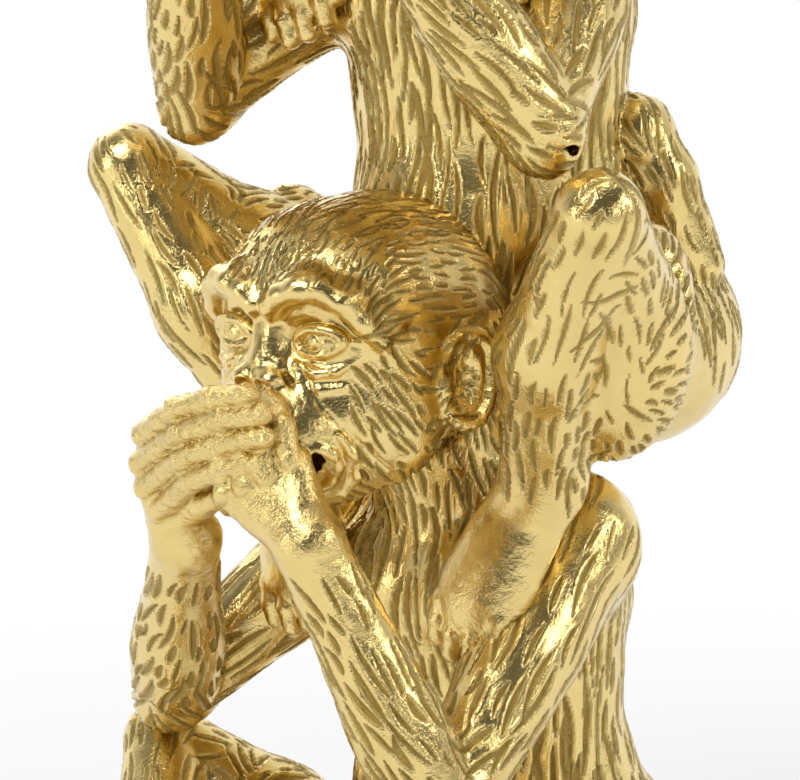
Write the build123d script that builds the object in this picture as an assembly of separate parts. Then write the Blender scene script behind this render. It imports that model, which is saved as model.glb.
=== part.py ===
from build123d import *
import math
import os

# Three monkeys sit one on another's shoulders: the lowest covers its mouth, the middle one
# its eyes and the top one its ears. Each is cast in sections that are dowelled and glued.
# Front is -Y, up is +Z, and the monkeys' left is +X. The origin is the middle of the seat
# pad's underside, and every seat lies on the Z axis.

# Places follow these three lengths
pitch = 135.0              # one monkey's seat to the next one's
span = 75.0                # middle of the body to the middle of a knee, sideways
reach = 100.0              # seat axis to the knuckles over the mouth, forwards

# Trunk
trunk_half_width = 43.0    # at the rump
trunk_half_depth = 34.0
trunk_sides = 12

# Head and neck
neck_radius = 16.5
skull_half_width = 28.5
skull_half_depth = 33.0
skull_half_height = 30.5
forehead_radius = 18.5
muzzle_root_radius = 21.0
muzzle_tip_radius = 15.5
jaw_root_radius = 18.0
chin_radius = 10.5
brow_radius = 4.0
nose_radius = 4.4
ear_half_height = 11.5
ear_half_depth = 7.5
ear_half_thickness = 3.0
head_sides = 10

# Arms and hands
shoulder_radius = 12.8
elbow_radius = 10.0
forearm_swell = 1.8
wrist_radius = 7.6
knuckle_radius = 4.0
finger_radius = 3.0
finger_pitch = 5.4
thumb_radius = 3.2
limb_sides = 7

# Legs and feet
hip_radius = 22.0
thigh_radius = 17.5
thigh_half_height = 8.5    # from its middle to the middle of each domed end
knee_radius = 9.8
calf_radius = 11.3
ankle_radius = 8.6
foot_radius = 11.4
foot_flatness_share = 0.62
toe_radius = 3.0
toe_pitch = 5.2
digit_sides = 5

# Tail
tail_root_radius = 9.0
tail_tip_radius = 7.4
tail_sides = 6

# Steel dowels and their sockets
stack_dowel_radius = 3.0
stack_dowel_length = 40.0
neck_dowel_radius = 2.0
neck_dowel_length = 26.0
shoulder_rod_radius = 1.6
shoulder_rod_reach = 6.0   # past the middle of each shoulder
dowel_play = 0.1           # round a dowel
dowel_end_play = 0.5       # past each end of a dowel
socket_sides = 8

# Felt under the seat and feet
pad_thickness = 1.5
seat_pad_radius = 17.0
foot_pad_radius = 6.0
overrun = 60.0             # how far the block that trims the underside reaches down

monkey_count = 3
finger_count = 4
toe_count = 4

# Trunk outline from the seat up: height, setback, half-width and half-depth shares
trunk_shares = [
    (-0.02, 0.00, 0.36, 0.35), (0.04, 0.01, 0.72, 0.71), (0.12, 0.01, 0.93, 0.91),
    (0.21, 0.00, 1.00, 1.00), (0.31, -0.06, 0.93, 0.97), (0.42, -0.19, 0.79, 0.88),
    (0.54, -0.25, 0.755, 0.84), (0.75, -0.26, 0.81, 0.89), (0.84, -0.26, 0.80, 0.83),
    (0.90, -0.26, 0.70, 0.73), (0.97, -0.27, 0.51, 0.57), (1.05, -0.33, 0.24, 0.32),
]
# The dome at each end of a limb or digit: how far out and how wide, as shares of its radius
dome_shares = [(0.9, 0.45), (0.3, 0.95)]
swell_share = 0.35            # where along a limb it is thickest
flat_tolerance = 1e-6         # how far from flat a four-sided facet may be
skull_ring_shares = [-0.96, -0.76, -0.42, 0.0, 0.42, 0.76, 0.96]

# Places on the body as shares of the span, the reach and the pitch, for the left side
neck_root_share = (0.0, -0.34, 0.88)
neck_top_share = (0.0, -0.49, 1.08)
shoulder_share = (0.415, -0.29, 0.865)
hip_share = (0.32, -0.02, 0.18)
leg_up_shares = {
    "thigh": (0.68, -0.44, 0.222), "knee": (0.94, -0.71, 0.455), "calf": (0.69, -0.655, 0.23),
    "ankle": (0.51, -0.52, -0.01), "ball": (0.37, -0.545, -0.185), "toes": (0.33, -0.565, -0.29),
    "big_toe": (0.19, -0.55, -0.21),
}
leg_down_shares = {
    "thigh": (0.67, -0.40, 0.215), "knee": (0.95, -0.60, 0.445), "calf": (0.73, -0.78, 0.265),
    "ankle": (0.43, -0.97, 0.085), "ball": (0.53, -1.12, 0.045), "toes": (0.60, -1.235, 0.026),
    "big_toe": (0.42, -1.18, 0.03),
}
# Each tail is a row of places and the share of its root-to-tip taper reached there
tail_up_shares = [(0.05, 0.24, 0.10, 0.0), (0.19, 0.23, 0.36, 0.2), (0.32, 0.0, 0.52, 0.5),
                  (0.42, -0.06, 0.50, 0.8), (0.49, 0.02, 0.33, 1.0)]
tail_down_shares = [(0.05, 0.24, 0.12, 0.0), (0.42, 0.30, 0.09, 0.2), (0.78, 0.10, 0.085, 0.5),
                    (0.92, -0.12, 0.08, 0.8), (0.86, -0.26, 0.085, 1.0)]

# Places on the head and the hands as shares of the skull's half-width, the reach and the pitch
skull_share = (0.0, -0.64, 1.237)
forehead_share = (0.33, -0.80, 1.285)
muzzle_root_share = (0.0, -0.83, 1.135)
muzzle_tip_share = (0.0, -0.94, 1.09)
jaw_root_share = (0.0, -0.66, 1.09)
chin_share = (0.0, -0.89, 1.035)
brow_outer_share = (0.80, -0.865, 1.285)
brow_inner_share = (0.32, -0.965, 1.33)
nose_top_share = (0.0, -0.94, 1.26)
nose_tip_share = (0.0, -1.005, 1.185)
ear_share = (1.0, -0.665, 1.174)
elbow_shares = {
    "mouth_over": (0.80, -0.68, 0.563), "mouth_under": (0.52, -0.86, 0.48),
    "eyes": (0.70, -0.675, 0.596), "ears": (0.745, -0.64, 0.593),
}
hand_shares = {
    "mouth_over": {"wrist": (0.93, -0.98, 0.89), "knuckles": (0.93, -1.085, 1.026),
                   "tips": (-0.44, -1.135, 1.118), "thumb": (0.21, -1.09, 0.97),
                   "across": (0.1, -0.1, 1.0)},
    "mouth_under": {"wrist": (0.68, -1.07, 0.933), "knuckles": (0.26, -1.105, 1.037),
                    "tips": (-0.07, -1.06, 1.133), "thumb": (0.25, -1.05, 0.97),
                    "across": (0.83, 0.3, 0.5)},
    "eyes": {"wrist": (0.88, -0.98, 1.022), "knuckles": (0.53, -1.03, 1.178),
             "tips": (0.18, -1.035, 1.355), "thumb": (0.88, -0.93, 1.17),
             "across": (1.0, 0.3, 0.2)},
    "ears": {"wrist": (1.44, -0.70, 1.022), "knuckles": (1.30, -0.67, 1.193),
             "tips": (1.09, -0.59, 1.363), "thumb": (1.16, -0.83, 1.17),
             "across": (0.0, 1.0, 0.15)},
}
finger_length_shares = [0.88, 0.98, 1.0, 0.93]
toe_length_shares = [0.86, 1.0, 0.96, 0.8]
digit_taper_share = 0.86
digit_fan_share = 0.86     # how far apart finger tips are, against their knuckles
knuckle_fan_share = 0.75   # where the sides of the hand meet the row of knuckles
thumb_start_share = 0.3    # from the wrist towards the knuckles
poses = {
    0: ("low", "mouth_under", "mouth_over"),
    1: ("middle", "eyes", "eyes"),
    2: ("top", "ears", "ears"),
}

stack_dowel_share = (0.0, -0.13, 1.0)


def place(share, seat, side=1):
    return Vector(side * share[0] * span, share[1] * reach, share[2] * pitch + seat)


def place_at_head(share, seat, side=1):
    return Vector(side * share[0] * skull_half_width, share[1] * reach, share[2] * pitch + seat)


def between(start, end, share):
    return start + (end - start) * share


def skin(rings):
    """A closed solid through rings of points, with flat facets and flat ends."""
    faces = [Face(Wire.make_polygon(rings[0])), Face(Wire.make_polygon(rings[-1]))]
    for low, high in zip(rings, rings[1:]):
        for i in range(len(low)):
            j = (i + 1) % len(low)
            quad = [low[i], low[j], high[j], high[i]]
            normal = (quad[1] - quad[0]).cross(quad[3] - quad[0]).normalized()
            warp = abs(normal.dot(quad[2] - quad[0]))
            if warp < flat_tolerance:
                faces.append(Face(Wire.make_polygon(quad)))
            else:
                faces.append(Face(Wire.make_polygon([quad[0], quad[1], quad[2]])))
                faces.append(Face(Wire.make_polygon([quad[0], quad[2], quad[3]])))
    return Solid(Shell(faces))



def ring(centre, across, deep, sides):
    turns = [2 * math.pi * (i + 0.5) / sides for i in range(sides)]
    return [centre + across * math.cos(turn) + deep * math.sin(turn) for turn in turns]


def bone(start, end, start_radius, end_radius, swell=0.0, sides=limb_sides, flatness=1.0,
         facing=Vector(0, -1, 0)):
    """A tapered limb or digit with domed ends, flattened along the way that it faces."""
    axis = (end - start).normalized()
    across = axis.cross(facing).normalized()
    deep = across.cross(axis) * flatness
    stations = [(start - axis * start_radius * out, start_radius * wide) for out, wide in dome_shares]
    if swell:
        radius = start_radius + (end_radius - start_radius) * swell_share + swell
        stations.append((between(start, end, swell_share), radius))
    stations += [(end + axis * end_radius * out, end_radius * wide)
                 for out, wide in reversed(dome_shares)]
    return skin([ring(centre, across * radius, deep * radius, sides)
                 for centre, radius in stations])


def joined(solids):
    return solids[0].fuse(*solids[1:])


def trimmed(shape, cutters):
    """What is left of a section where larger ones take its place, as one solid."""
    box = shape.bounding_box()
    near = [cutter for cutter in cutters if overlapping(box, cutter.bounding_box())]
    if near:
        shape = shape.cut(*near)
    return max(shape.solids(), key=lambda solid: solid.volume)


def overlapping(first, second):
    return (first.min.X < second.max.X and second.min.X < first.max.X
            and first.min.Y < second.max.Y and second.min.Y < first.max.Y
            and first.min.Z < second.max.Z and second.min.Z < first.max.Z)


def dowel(middle, direction, radius, length):
    return Solid.make_cylinder(radius, length, Plane(middle - direction * length / 2,
                                                     z_dir=direction))


def socket(middle, direction, radius, length):
    """A moulded hole with flats that clear the dowel all round, and clear it at its ends."""
    across = direction.cross(Vector(0, 1, 0)).normalized()
    deep = direction.cross(across)
    corner = (radius + dowel_play) / math.cos(math.pi / socket_sides)
    half = direction * (length / 2 + dowel_end_play)
    return skin([ring(end, across * corner, deep * corner, socket_sides)
                 for end in (middle - half, middle + half)])


def make_trunk(seat):
    rings = []
    for height, setback, width, depth in trunk_shares:
        centre = Vector(0, setback * reach, height * pitch + seat)
        rings.append(ring(centre, Vector(trunk_half_width * width, 0, 0),
                          Vector(0, trunk_half_depth * depth, 0), trunk_sides))
    neck = bone(place(neck_root_share, seat), place(neck_top_share, seat),
                neck_radius, neck_radius)
    return joined([skin(rings), neck])


def make_head(seat):
    centre = place_at_head(skull_share, seat)
    rings = []
    for share in skull_ring_shares:
        wide = math.sqrt(1 - share * share)
        rings.append(ring(centre + Vector(0, 0, skull_half_height * share),
                          Vector(skull_half_width * wide, 0, 0),
                          Vector(0, skull_half_depth * wide, 0), head_sides))
    forms = [skin(rings),
             bone(place_at_head(forehead_share, seat, -1), place_at_head(forehead_share, seat, 1),
                  forehead_radius, forehead_radius),
             bone(place_at_head(muzzle_root_share, seat), place_at_head(muzzle_tip_share, seat),
                  muzzle_root_radius, muzzle_tip_radius, facing=Vector(0, 0, 1)),
             bone(place_at_head(jaw_root_share, seat), place_at_head(chin_share, seat),
                  jaw_root_radius, chin_radius, facing=Vector(0, 0, 1)),
             bone(place_at_head(nose_top_share, seat), place_at_head(nose_tip_share, seat),
                  nose_radius, nose_radius, sides=digit_sides)]
    for side in (1, -1):
        ear = place_at_head(ear_share, seat, side)
        rise = Vector(0, 0, ear_half_height - ear_half_depth)
        forms += [bone(place_at_head(brow_outer_share, seat, side),
                       place_at_head(brow_inner_share, seat, side),
                       brow_radius, brow_radius, sides=digit_sides),
                  bone(ear - rise, ear + rise, ear_half_depth, ear_half_depth,
                       flatness=ear_half_thickness / ear_half_depth, sides=digit_sides + 2,
                       facing=Vector(1, 0, 0))]
    return joined(forms)


def digit_offsets(across, pitch_apart, count):
    return [across * (i - (count - 1) / 2) * pitch_apart for i in range(count)]


def make_arm(seat, side, pose):
    wrist, knuckles, tips, thumb = [
        place_at_head(hand_shares[pose][key], seat, side)
        for key in ("wrist", "knuckles", "tips", "thumb")]
    shoulder = place(shoulder_share, seat, side)
    elbow = place(elbow_shares[pose], seat, side)
    across_at = hand_shares[pose]["across"]
    across = Vector(side * across_at[0], across_at[1], across_at[2]).normalized()
    forms = [bone(shoulder, elbow, shoulder_radius, elbow_radius),
             bone(elbow, wrist, elbow_radius, wrist_radius, swell=forearm_swell),
             bone(between(wrist, knuckles, thumb_start_share), thumb, thumb_radius, thumb_radius,
                  sides=digit_sides)]
    offsets = digit_offsets(across, finger_pitch, finger_count)
    for offset, length in zip(offsets, finger_length_shares):
        root = knuckles + offset
        forms.append(bone(root, between(root, tips + offset * digit_fan_share, length),
                          finger_radius, finger_radius * digit_taper_share, sides=digit_sides))
    for offset in (offsets[0], offsets[-1]):
        forms.append(bone(wrist, knuckles + offset * knuckle_fan_share, wrist_radius,
                          knuckle_radius, sides=digit_sides))
    return joined(forms)


def make_leg(seat, side, lifted):
    shares = leg_up_shares if lifted else leg_down_shares
    thigh, knee, calf, ankle, ball, toes, big_toe = [
        place(shares[key], seat, side)
        for key in ("thigh", "knee", "calf", "ankle", "ball", "toes", "big_toe")]
    hip = place(hip_share, seat, side)
    rise = Vector(0, 0, thigh_half_height)
    level_way = Vector(0, 1, 0) if lifted else Vector(0, 0, 1)
    across = (toes - ball).cross(level_way).normalized()
    sole = (toes - ball).cross(across).normalized()
    forms = [bone(hip, thigh, hip_radius, thigh_radius),
             bone(thigh - rise, thigh + rise, thigh_radius, thigh_radius),
             bone(thigh + rise, knee, thigh_radius, knee_radius),
             bone(knee, calf, knee_radius, calf_radius),
             bone(calf, ankle, calf_radius, ankle_radius),
             bone(ankle, ball, ankle_radius, foot_radius, flatness=foot_flatness_share,
                  facing=sole),
             bone(ankle, big_toe, toe_radius, toe_radius, sides=digit_sides)]
    for offset, length in zip(digit_offsets(across, toe_pitch, toe_count), toe_length_shares):
        forms.append(bone(ball + offset, between(ball, toes, length) + offset,
                          toe_radius, toe_radius * digit_taper_share, sides=digit_sides))
    return joined(forms)


def make_tail(seat, shares):
    points = [place(share, seat) for share in shares]
    radii = [tail_root_radius + (tail_tip_radius - tail_root_radius) * share[3]
             for share in shares]
    return joined([bone(points[i], points[i + 1], radii[i], radii[i + 1], sides=tail_sides)
                   for i in range(len(points) - 1)])


def neck_dowel_line(seat):
    """The middle of a neck dowel and the way it points."""
    top = place(neck_top_share, seat)
    axis = (top - place(neck_root_share, seat)).normalized()
    return top + axis * neck_radius, axis


def shoulder_rod_line(seat):
    """The middle, direction, radius and length of the rod from one shoulder to the other."""
    left, right = place(shoulder_share, seat, 1), place(shoulder_share, seat, -1)
    length = (left - right).length + 2 * shoulder_rod_reach
    return between(left, right, 0.5), Vector(1, 0, 0), shoulder_rod_radius, length


def make_pads():
    """Felt discs under the seat and under the ball of each foot."""
    places = [(Vector(0, 0, 0), seat_pad_radius)]
    for side in (1, -1):
        ball = place(leg_down_shares["ball"], 0, side)
        places.append((Vector(ball.X, ball.Y, 0), foot_pad_radius))
    return [Solid.make_cylinder(radius, pad_thickness, Plane(centre))
            for centre, radius in places]


def build():
    nodes = {}
    trunk_under, head_under, arms_under = None, None, []
    sockets, neck_dowels, shoulder_rods = [], [], []
    ground_half_width = span + reach
    ground = Solid.make_box(2 * ground_half_width, 2 * ground_half_width, overrun,
                            Plane((-ground_half_width, -ground_half_width,
                                   pad_thickness - overrun)))
    for level in range(monkey_count):
        seat = level * pitch
        name, left_pose, right_pose = poses[level]
        lifted = level > 0
        under = [trunk_under, head_under] + arms_under if lifted else [ground]
        trunk = trimmed(make_trunk(seat), under)
        head = trimmed(make_head(seat), [trunk])
        left_leg = trimmed(make_leg(seat, 1, lifted), [trunk, head] + under)
        right_leg = trimmed(make_leg(seat, -1, lifted), [trunk, head, left_leg] + under)
        legs = [left_leg, right_leg]
        left_arm = trimmed(make_arm(seat, 1, left_pose), [trunk, head] + legs)
        right_arm = trimmed(make_arm(seat, -1, right_pose), [trunk, head, left_arm] + legs)
        tail = trimmed(make_tail(seat, tail_up_shares if lifted else tail_down_shares),
                       [trunk] + legs + under)
        trunk_under, head_under, arms_under = trunk, head, [left_arm, right_arm]

        neck_line = neck_dowel_line(seat)
        neck_dowels.append(dowel(*neck_line, neck_dowel_radius, neck_dowel_length))
        sockets.append(socket(*neck_line, neck_dowel_radius, neck_dowel_length))
        shoulder_rods.append(dowel(*shoulder_rod_line(seat)))
        sockets.append(socket(*shoulder_rod_line(seat)))
        if level < monkey_count - 1:
            stack_line = (place(stack_dowel_share, seat), Vector(0, 0, 1))
            nodes["stack_dowel_" + str(level + 1)] = dowel(*stack_line, stack_dowel_radius,
                                                           stack_dowel_length)
            sockets.append(socket(*stack_line, stack_dowel_radius, stack_dowel_length))
        nodes[name + "_trunk"] = trunk
        nodes[name + "_head"] = head
        nodes[name + "_left_arm"] = left_arm
        nodes[name + "_right_arm"] = right_arm
        nodes[name + "_left_leg"] = left_leg
        nodes[name + "_right_leg"] = right_leg
        nodes[name + "_tail"] = tail
    for name in nodes:
        if name.endswith(("trunk", "head", "arm")):
            nodes[name] = trimmed(nodes[name], sockets)
    seat_pad, *foot_pads = make_pads()
    nodes["neck_dowels"] = Compound(children=neck_dowels)
    nodes["shoulder_rods"] = Compound(children=shoulder_rods)
    nodes["seat_pad"] = seat_pad
    nodes["foot_pads"] = Compound(children=foot_pads)
    return nodes


os.makedirs("parts", exist_ok=True)
for node, shape in build().items():
    export_step(shape, "parts/" + node + ".step")
    print(node, round(shape.volume), len(shape.faces()))
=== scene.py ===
import math
import bpy
import numpy as np
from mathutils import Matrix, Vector


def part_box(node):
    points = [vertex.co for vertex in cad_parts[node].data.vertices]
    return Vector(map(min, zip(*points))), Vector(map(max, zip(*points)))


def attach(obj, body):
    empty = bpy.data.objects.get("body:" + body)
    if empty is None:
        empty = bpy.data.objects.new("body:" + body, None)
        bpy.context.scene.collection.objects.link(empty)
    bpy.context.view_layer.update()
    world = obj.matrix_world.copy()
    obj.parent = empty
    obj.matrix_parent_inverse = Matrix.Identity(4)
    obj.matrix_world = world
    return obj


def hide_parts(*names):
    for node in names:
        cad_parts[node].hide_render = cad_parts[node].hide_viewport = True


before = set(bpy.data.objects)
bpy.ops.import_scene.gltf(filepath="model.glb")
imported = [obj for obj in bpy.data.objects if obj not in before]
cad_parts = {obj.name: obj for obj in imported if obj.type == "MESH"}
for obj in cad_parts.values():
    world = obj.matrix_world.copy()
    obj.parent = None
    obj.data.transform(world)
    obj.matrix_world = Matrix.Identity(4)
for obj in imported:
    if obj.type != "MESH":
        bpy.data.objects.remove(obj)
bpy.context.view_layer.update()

# The sculpting is done in millimetres, each monkey measured from its own seat. Places are
# given for the left side, as sideways, back and up, and mirrored for the right.
mm = 0.001
seat_pitch = (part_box("stack_dowel_2")[0][2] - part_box("stack_dowel_1")[0][2]) / mm
pad_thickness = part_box("seat_pad")[1][2] / mm

# How finely each part is sculpted
photo_voxel = 0.65         # bodies of the two monkeys that the photograph shows
top_voxel = 0.90           # body of the one above the picture
seen_head_voxel = 0.48
middle_head_voxel = 0.65
top_head_voxel = 0.75
seen_arm_voxel = 0.50
middle_arm_voxel = 0.65
field_margin = 9.0         # how far from a form its distances are worked out
finer_margin = 4.0         # space left round a head or arm that is sculpted again
relax_share = 0.25

# How the sections meet
seam_overlap = 0.8         # how far a finer skin runs on over its neighbours
seam_tuck_share = 0.35     # how deep that edge dips, as a share of how far it runs on
crisp_blend = 0.9          # how softly a hand meets a face, or a foot a chest
crisp_fade = 10            # how far a limb takes to change from soft to crisp
ground_radius = 4000
ground_depth = 400

# How the fur strokes are picked and cut
seed = 7
candidate_area = 1.6       # one place is tried for a stroke in each such area
way_jitter = 0.16
least_size_shares = (0.45, 0.65)   # of a stroke's length and width
most_size_shares = (1.55, 1.35)
stroke_bend = 0.10
bucket = 9.0               # strokes are compared with those in the nearest such cubes
neighbour_steps = (-1, 0, 1)
fur_fade = 2.6             # how fast one way of lying gives way to the next
least_fur_share = 0.55     # skin with less fur than this has no strokes
ground_clearance = 1.0
engraving_cell = 3.0
rim_share = 0.34           # how high a stroke's rim stands, as a share of its depth
rim_width = 0.36
rim_ends_at = 0.02         # a gouge deeper than this has no rim of its neighbour in it
full_groove = 0.6          # from this depth on, the gold is as dark as it gets

# How uneven the skin is: the size of a hump, and its height
wrinkle_size, wrinkle_height = 1.7, 0.36
wave_size, wave_height = 6.5, 0.2
ripple_size, ripple_height = 2.6, 0.07
lattice_side = 32

neck_root = (0, -34, 119)
neck_top = (0, -49, 147)
shoulder = (31, -29, 117)
hip = (24, -2, 24)
leg_places = {
    "up": {"thigh": (51, -44, 30), "knee": (70.5, -71, 63.5), "shin": (51.5, -65.5, 31),
           "ankle": (38, -52, -1.5), "ball": (27.5, -57.5, -25), "toes": (24.5, -62.5, -40),
           "big_toe": (15, -60, -30)},
    "down": {"thigh": (50, -40, 29), "knee": (71.5, -60, 60), "shin": (55, -78, 36),
             "ankle": (32, -97, 11.5), "ball": (40, -112, 6.2), "toes": (45, -124, 4.2),
             "big_toe": (31.5, -118, 4.6)},
}
arm_places = {
    "mouth_under": {"elbow": (39, -86, 65), "wrist": (19.5, -107, 126),
                    "knuckles": (7.5, -110.5, 140), "tips": (-2, -106, 153),
                    "thumb": (7, -105, 131), "across": (0.83, 0.3, 0.5),
                    "heel": (-3.5, -106, 134)},
    "mouth_over": {"elbow": (60, -68, 76), "wrist": (26.5, -98, 120),
                   "knuckles": (26.5, -108.5, 136.5), "tips": (-12.5, -113.5, 152),
                   "thumb": (7, -106, 134), "across": (0.2, -0.1, 0.97)},
    "eyes": {"elbow": (51, -67.5, 80.5), "wrist": (25, -98, 138), "knuckles": (15, -103, 159),
             "tips": (5, -103.5, 183), "thumb": (25, -93, 158), "across": (1, 0.3, 0.2),
             "vent": ((62.5, -70.5, 76.5), (55, -61.5, 75))},
    "ears": {"elbow": (56, -64, 80), "wrist": (41, -70, 138), "knuckles": (37, -67, 161),
             "tips": (31, -59, 184), "thumb": (33, -83, 158), "across": (0, 1, 0.15)},
}
vent_radii = (1.2, 1.0)
head_middle = (0, -68, 160)
tail_up = [(4, 24, 13), (14, 23, 46), (22.5, 0, 69), (29, -8.5, 73), (34, -5, 62), (37, 2, 43)]
tail_down = [(4, 24, 15), (31, 30, 12), (58, 10, 10.5), (69, -12, 10), (64, -27, 10)]

# Trunk outline from the seat up: height, setback, half-width and half-depth
trunk_outline = [
    (-3, 0, 16, 12), (5, 1, 31, 24), (16, 1, 40, 31), (28, 0, 43, 34), (42, -6, 40, 33),
    (57, -19, 34, 30), (73, -25, 32.5, 28.5), (90, -26, 33.5, 29.5), (102, -26, 35, 30.5),
    (113, -26, 34.5, 28.5), (121, -26, 30, 25), (131, -27, 22, 19.5), (142, -33, 10, 11),
]
# Masses on both sides of the trunk: middle, half-sizes and softness
trunk_masses = [
    ((20, 3, 25), (22, 25.5, 23.5), 8.0),       # rump
    ((15, -49, 105), (15, 9.5, 12), 7.0),       # breast
    ((14, -7, 101), (10, 6, 15), 7.0),          # shoulder blade
]
belly = ((0, -33, 52), (27, 25, 24), 9.0)
neck_slope = ((4, -30, 134), (27, -26, 122))
back_furrow = [(0, 15.5, 54), (0, 8, 74), (0, 7, 108)]
# Fur near a line: its start and end, the way the strokes point, and their length, width,
# depth and gap
trunk_fur = [
    ((0, -30, 20), (0, -50, 108), (0, 0, -1), 20, 1.8, 0.75, 2.7),
    ((0, 0, 60), (0, -8, 110), (0, 0.1, -1), 17, 1.8, 0.7, 2.8),
    ((0, 20, 10), (0, 25, 40), (0, 0.3, -1), 13, 1.7, 0.65, 2.8),
    (neck_root, neck_top, (0, 0.35, -1), 11, 1.5, 0.6, 2.4),
]

# Arms: radii, and each kind of fur's length, width, depth and gap
shoulder_cap_offset = (0.5, 0, -2)
shoulder_cap = (12, 13.5, 14.5)
shoulder_radius, elbow_radius, wrist_radius = 12.3, 9.2, 7.9
upper_arm_swell, forearm_swell = 1.6, 2.2
elbow_tip_out, elbow_tip_radius = 6.0, 4.4
fur_droop = (0, 0, -0.3)
forearm_fur_aside = (-0.3, 0, 0)
shoulder_fur = (15, 1.4, 0.42, 5.0)
upper_arm_fur = (19, 1.6, 0.55, 3.9)
lower_arm_fur = (14, 1.7, 0.65, 2.7)
forearm_fur = (11.5, 1.7, 0.68, 2.4)

# Hands and feet
finger_lengths = (0.88, 0.98, 1.0, 0.93)
finger_pitch = 5.6
finger_radii = (2.75, 2.5)
palm_radii = (6.6, 3.8)
palm_deeper = 2.6
hand_heel = (5, 5, 5)
thumb_radii = (4.6, 3.3, 2.7)
knuckle_size = 0.25
toe_lengths = (0.86, 1.0, 0.96, 0.8)
toe_pitch = 5.4
toe_radii = (2.8, 2.5)
big_toe_radii = (3.9, 2.8)
sole_radii = (10.2, 12.4)
sole_flatness = 0.62
ankle_ball = (9.2, 9.2, 9.0)
digit_places = (-1.5, -0.5, 0.5, 1.5)
crumpled_fingers, crumpled_palm, crumpled_toes = 1.0, 0.3, 0.3

# Legs and tails
hip_mass = (22, 22.5, 22)
buttock_radii = (21, 17)
thigh_disc = (18.8, 17, 26)
thigh_lean = (0.14, -0.14, 1)
thigh_facing = (0.669, -0.743, 0)
thigh_end_radius, thigh_knee_radius = 16.5, 9.6
knee_radius, calf_radius, ankle_radius = 9.4, 11.3, 8.4
raised_thigh = ((52, -33.5, 40), (11, 12, 17.5), 4.0)
raised_groin = ((24, -2, 1), (38, -22, 6), 1.5)
thigh_rim_fur = (7.5, 1.5, 0.7, 2.2)
buttock_fur = (15.0, 1.6, 0.6, 3.0)
thigh_fur = (10.0, 1.3, 0.45, 3.2)
shin_fur = (12.0, 1.5, 0.5, 2.9)
ankle_fur = (10.5, 1.6, 0.6, 2.6)
tail_root_radius, tail_tip_radius = 9.2, 7.8
tail_fur = (12, 1.6, 0.55, 2.7)

# Masses of the head: middle, half-sizes and how softly each joins the ones before
head_masses = [
    ((0, -64, 167), (28.6, 33, 30.5), 0),       # skull
    ((0, -79, 174), (26.5, 21.5, 21.5), 6.0),   # forehead
    ((0, -85, 161), (21.5, 12.5, 19), 7.0),     # middle of the face
    ((0, -91, 147.5), (18.5, 17.8, 14.8), 7.0),  # muzzle
    ((0, -83, 138), (15.5, 17, 9), 6.0),        # jaw
]
cheek = ((18, -78, 150), (9.5, 13, 14), 7.0)
brow = [(24, -86, 172), (18.5, -93.2, 177), (10.5, -97.4, 179.4), (4.2, -97.6, 177.2)]
brow_radii = (2.8, 4.0, 4.2)
under_brow = [(5.4, -100.8, 171.8), (8.4, -101.2, 174.6), (13.0, -99.7, 175.6),
              (18.0, -96.9, 173.6), (21.6, -92.9, 169.4)]
brow_ridge = [(2.6, -100.4, 175.4), (5.6, -100.9, 178.0), (10.2, -100.7, 179.8),
              (14.8, -98.5, 180.0), (19.2, -96.1, 177.2), (21.9, -92.2, 172.8),
              (24.0, -88.6, 169.6)]
cheek_line = [(9.1, -99.6, 165.0), (11.5, -99.2, 159.9), (15.0, -98.7, 154.8),
              (18.6, -95.4, 149.6), (21.0, -91.2, 145.0), (22.6, -85.0, 139.6)]
ear_fur = (1.9, 1.5, 0.42, 1.5)
fold_ends_share = 0.5      # how thick a fold is at its ends
# Folds of skin round the eye: places, thickness and softness
eye_folds = [
    ([(8.5, -99.2, 163.4), (12.8, -97.6, 161.2), (16.8, -95.4, 161.8), (20.4, -91.9, 164.6)],
     0.95, 1.0),
    ([(9.5, -99.0, 160.0), (13.6, -97.2, 157.6), (18.0, -94.4, 158.4)], 0.85, 1.2),
    ([(20.0, -92.9, 168.6), (23.0, -88.6, 167.0), (25.4, -84.8, 164.0)], 0.9, 0.8),
]
nose_fold = [(1.5, -101.6, 164.5), (4.6, -100.4, 163.4), (7.6, -99.6, 160.8)]
# The corner of a covered mouth: its rim, its hole as three bores, and the fold beside it
mouth_corner = [(13.6, -101.0, 144.6), (15.4, -99.3, 145.2), (16.6, -96.9, 144.0),
                (16.2, -94.6, 140.9), (14.2, -94.4, 137.5), (11.8, -96.0, 136.0)]
mouth_bores = [((13.4, -102, 140.6), (10.6, -92, 139.2), 1.1),
               ((14.6, -101.5, 142.2), (11.2, -91.5, 140.4), 1.4),
               ((15.6, -100.5, 143.6), (12.4, -91.5, 141.6), 1.1)]
mouth_fold = [(18.4, -96.0, 148.2), (19.2, -92.6, 143.8), (17.6, -90.0, 138.4),
              (14.0, -89.6, 133.6)]
# Fur on one side of the head, given as the trunk's is
head_fur = [
    ((1, -98.4, 184), (8.4, -95, 186), (0.12, 0.5, 0.9), 4.6, 1.0, 0.6, 1.5),
    ((8.4, -95, 186), (20, -91, 181.5), (0.12, 0.5, 0.9), 4.6, 1.0, 0.6, 1.5),
    ((12, -82, 195), (10, -50, 197), (0.12, 1, 0), 12.0, 1.0, 0.45, 1.55),
    ((26, -80, 176), (28, -62, 178), (0.1, 1, -0.12), 9.0, 1.2, 0.5, 1.8),
    ((22, -83, 157), (17, -78, 140), (0.1, 0.6, -0.75), 7.5, 1.35, 0.62, 2.0),
    ((26, -55, 165), (18, -50, 145), (0, 0.6, -0.8), 7.5, 1.6, 0.55, 2.8),
    ((14, -36, 178), (12, -34, 152), (0, 0.2, -1), 8.5, 1.6, 0.55, 2.8),
]
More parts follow.
